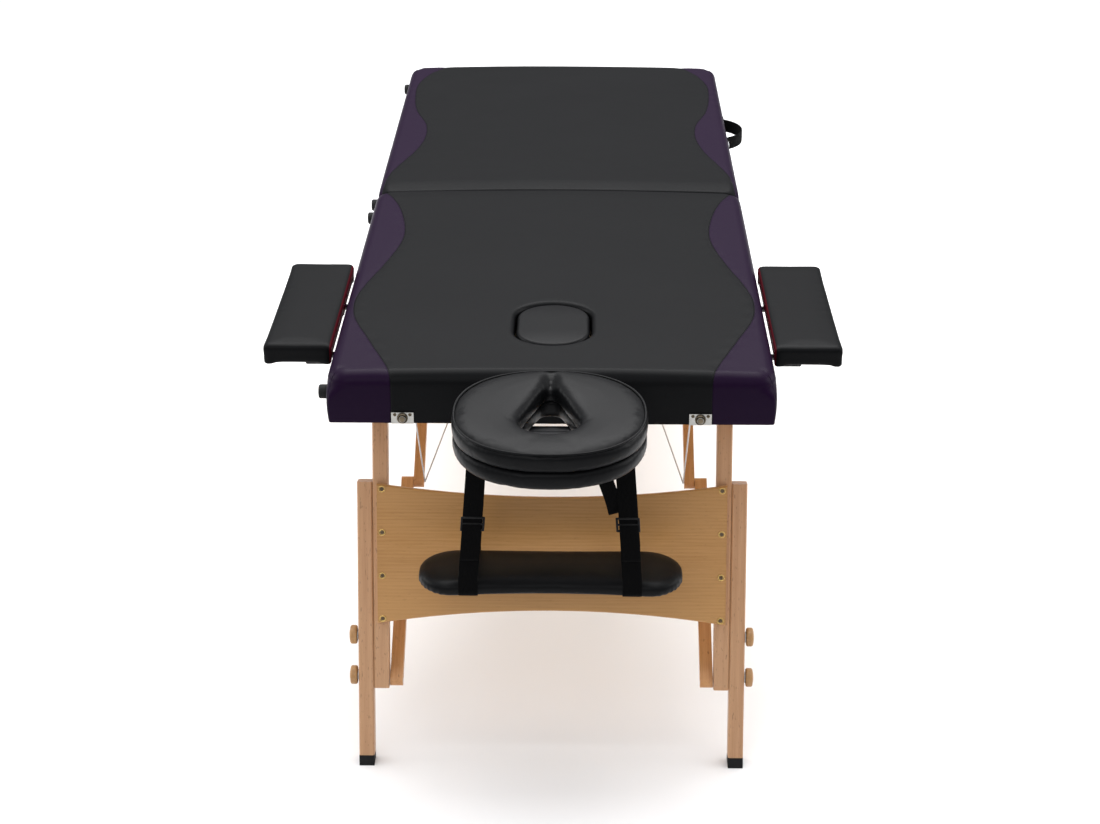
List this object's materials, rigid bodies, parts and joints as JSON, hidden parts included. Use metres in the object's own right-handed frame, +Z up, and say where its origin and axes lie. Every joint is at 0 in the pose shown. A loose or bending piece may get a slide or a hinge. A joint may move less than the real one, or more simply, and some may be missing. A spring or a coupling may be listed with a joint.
{
  "type": "folding massage table",
  "caption": "Padded folding massage table on height-adjustable wooden legs, with face hole plug, headrest, armrests and a hanging arm shelf.",
  "frame": {"origin": "on the floor under the middle of the fold", "axes": "+Z up, +Y along the table from the head end to the foot end, +X to the right seen from the head"},
  "size_m": [0.904, 2.1943, 0.6795],
  "materials": {
    "black_vinyl": "soft satin vinyl",
    "beech": "clear lacquer",
    "plywood": "plain",
    "steel": "zinc plated",
    "rubber": "matt",
    "black_metal": "satin black",
    "webbing": "woven webbing"
  },
  "bodies": {
    "head_half": {"head_frame": "beech", "head_deck": "plywood", "head_cushion": "black_vinyl", "head_leg_blocks": "beech", "head_brace_blocks": "beech", "head_pivot_pins": "steel", "head_cables": "steel", "head_bumpers": "rubber", "head_catch_plates": "steel", "head_hinge_leaves": "steel", "headrest_sockets": "beech"},
    "head_legs": {"head_left_leg": "beech", "head_right_leg": "beech", "head_crossboard": "beech", "head_leg_bolts": "steel"},
    "head_extensions": {"head_left_extension": "beech", "head_right_extension": "beech", "head_feet": "rubber"},
    "head_lower_braces": {"head_lower_braces": "beech"},
    "head_upper_braces": {"head_upper_braces": "beech"},
    "head_left_upper_knob": {"head_left_upper_knob": "beech"},
    "head_left_lower_knob": {"head_left_lower_knob": "beech"},
    "head_right_upper_knob": {"head_right_upper_knob": "beech"},
    "head_right_lower_knob": {"head_right_lower_knob": "beech"},
    "foot_half": {"foot_frame": "beech", "foot_deck": "plywood", "foot_cushion": "black_vinyl", "foot_leg_blocks": "beech", "foot_brace_blocks": "beech", "foot_pivot_pins": "steel", "foot_cables": "steel", "foot_bumpers": "rubber", "foot_catch_plates": "steel", "foot_hinge_leaves": "steel", "carry_handle": "webbing"},
    "foot_legs": {"foot_left_leg": "beech", "foot_right_leg": "beech", "foot_crossboard": "beech", "foot_leg_bolts": "steel"},
    "foot_extensions": {"foot_left_extension": "beech", "foot_right_extension": "beech", "foot_feet": "rubber"},
    "foot_lower_braces": {"foot_lower_braces": "beech"},
    "foot_upper_braces": {"foot_upper_braces": "beech"},
    "foot_left_upper_knob": {"foot_left_upper_knob": "beech"},
    "foot_left_lower_knob": {"foot_left_lower_knob": "beech"},
    "foot_right_upper_knob": {"foot_right_upper_knob": "beech"},
    "foot_right_lower_knob": {"foot_right_lower_knob": "beech"},
    "fold_pins": {"hinge_pins": "steel"},
    "face_plug": {"face_plug": "black_vinyl"},
    "headrest_frame": {"headrest_frame": "black_metal"},
    "headrest": {"headrest_platform": "black_vinyl", "headrest_cushion": "black_vinyl", "headrest_lugs": "black_metal"},
    "arm_shelf": {"arm_shelf": "black_vinyl", "shelf_straps": "webbing"},
    "left_armrest": {"left_armrest": "black_vinyl"},
    "right_armrest": {"right_armrest": "black_vinyl"}
  },
  "joints": [
    {"name": "head_leg_fold", "type": "hinge", "parent": "head_half", "child": "head_legs", "pos_m": [0, -0.8, 0.6], "axis": [1, 0, 0], "range_deg": [0, 104.01], "deforming": ["head_cables"]},
    {"name": "head_height", "type": "slide", "parent": "head_legs", "child": "head_extensions", "axis": [0, -0.2419, -0.9703], "range_m": [0, 0.132]},
    {"name": "head_lower_brace_turn", "type": "hinge", "parent": "head_legs", "child": "head_lower_braces", "pos_m": [0, -0.91709, 0.13038], "axis": [1, 0, 0], "range_deg": [0, 42.42]},
    {"name": "head_upper_brace_turn", "type": "hinge", "parent": "head_half", "child": "head_upper_braces", "pos_m": [0, -0.21, 0.6], "axis": [-1, 0, 0], "range_deg": [0, 33.6]},
    {"name": "head_left_upper_knob_turn", "type": "hinge", "parent": "head_legs", "child": "head_left_upper_knob", "pos_m": [-0.31, -0.89919, 0.20218], "axis": [1, 0, 0], "continuous": true},
    {"name": "head_left_lower_knob_turn", "type": "hinge", "parent": "head_legs", "child": "head_left_lower_knob", "pos_m": [-0.31, -0.91516, 0.13814], "axis": [1, 0, 0], "continuous": true},
    {"name": "head_right_upper_knob_turn", "type": "hinge", "parent": "head_legs", "child": "head_right_upper_knob", "pos_m": [0.31, -0.89919, 0.20218], "axis": [1, 0, 0], "continuous": true},
    {"name": "head_right_lower_knob_turn", "type": "hinge", "parent": "head_legs", "child": "head_right_lower_knob", "pos_m": [0.31, -0.91516, 0.13814], "axis": [1, 0, 0], "continuous": true},
    {"name": "foot_leg_fold", "type": "hinge", "parent": "foot_half", "child": "foot_legs", "pos_m": [0, 0.8, 0.6], "axis": [-1, 0, 0], "range_deg": [0, 104.01], "deforming": ["foot_cables"]},
    {"name": "foot_height", "type": "slide", "parent": "foot_legs", "child": "foot_extensions", "axis": [0, 0.2419, -0.9703], "range_m": [0, 0.132]},
    {"name": "foot_lower_brace_turn", "type": "hinge", "parent": "foot_legs", "child": "foot_lower_braces", "pos_m": [0, 0.91709, 0.13038], "axis": [-1, 0, 0], "range_deg": [0, 42.42]},
    {"name": "foot_upper_brace_turn", "type": "hinge", "parent": "foot_half", "child": "foot_upper_braces", "pos_m": [0, 0.21, 0.6], "axis": [1, 0, 0], "range_deg": [0, 33.6]},
    {"name": "foot_left_upper_knob_turn", "type": "hinge", "parent": "foot_legs", "child": "foot_left_upper_knob", "pos_m": [-0.31, 0.89919, 0.20218], "axis": [1, 0, 0], "continuous": true},
    {"name": "foot_left_lower_knob_turn", "type": "hinge", "parent": "foot_legs", "child": "foot_left_lower_knob", "pos_m": [-0.31, 0.91516, 0.13814], "axis": [1, 0, 0], "continuous": true},
    {"name": "foot_right_upper_knob_turn", "type": "hinge", "parent": "foot_legs", "child": "foot_right_upper_knob", "pos_m": [0.31, 0.89919, 0.20218], "axis": [1, 0, 0], "continuous": true},
    {"name": "foot_right_lower_knob_turn", "type": "hinge", "parent": "foot_legs", "child": "foot_right_lower_knob", "pos_m": [0.31, 0.91516, 0.13814], "axis": [1, 0, 0], "continuous": true},
    {"name": "left_armrest_pull", "type": "slide", "parent": "head_half", "child": "left_armrest", "axis": [-1, 0, 0], "range_m": [0, 0.06]},
    {"name": "right_armrest_pull", "type": "slide", "parent": "head_half", "child": "right_armrest", "axis": [1, 0, 0], "range_m": [0, 0.06]},
    {"name": "head_fold", "type": "hinge", "parent": "fold_pins", "child": "head_half", "pos_m": [0, 0, 0.573], "axis": [1, 0, 0], "range_deg": [0, 90]},
    {"name": "foot_fold", "type": "hinge", "parent": "fold_pins", "child": "foot_half", "pos_m": [0, 0, 0.573], "axis": [-1, 0, 0], "range_deg": [0, 90]},
    {"name": "plug_lift", "type": "slide", "parent": "head_half", "child": "face_plug", "axis": [0, 0, 1], "range_m": [0, 0.08]},
    {"name": "headrest_pull", "type": "slide", "parent": "head_half", "child": "headrest_frame", "axis": [0, -1, 0], "range_m": [0, 0.07]},
    {"name": "headrest_tilt", "type": "hinge", "parent": "headrest_frame", "child": "headrest", "pos_m": [0, -1, 0.6], "axis": [-1, 0, 0], "range_deg": [-20, 10]},
    {"name": "arm_shelf_swing", "type": "hinge", "parent": "headrest_frame", "child": "arm_shelf", "pos_m": [0, -1, 0.6], "axis": [1, 0, 0], "range_deg": [-15, 10]}
  ],
  "couplings": [
    {"joint": "head_leg_fold", "follows": "head_fold", "ratio": 1.1556},
    {"joint": "head_lower_brace_turn", "follows": "head_fold", "ratio": 0.47122},
    {"joint": "head_upper_brace_turn", "follows": "head_fold", "ratio": 0.37323},
    {"joint": "foot_leg_fold", "follows": "foot_fold", "ratio": 1.1556},
    {"joint": "foot_lower_brace_turn", "follows": "foot_fold", "ratio": 0.47122},
    {"joint": "foot_upper_brace_turn", "follows": "foot_fold", "ratio": 0.37323}
  ]
}
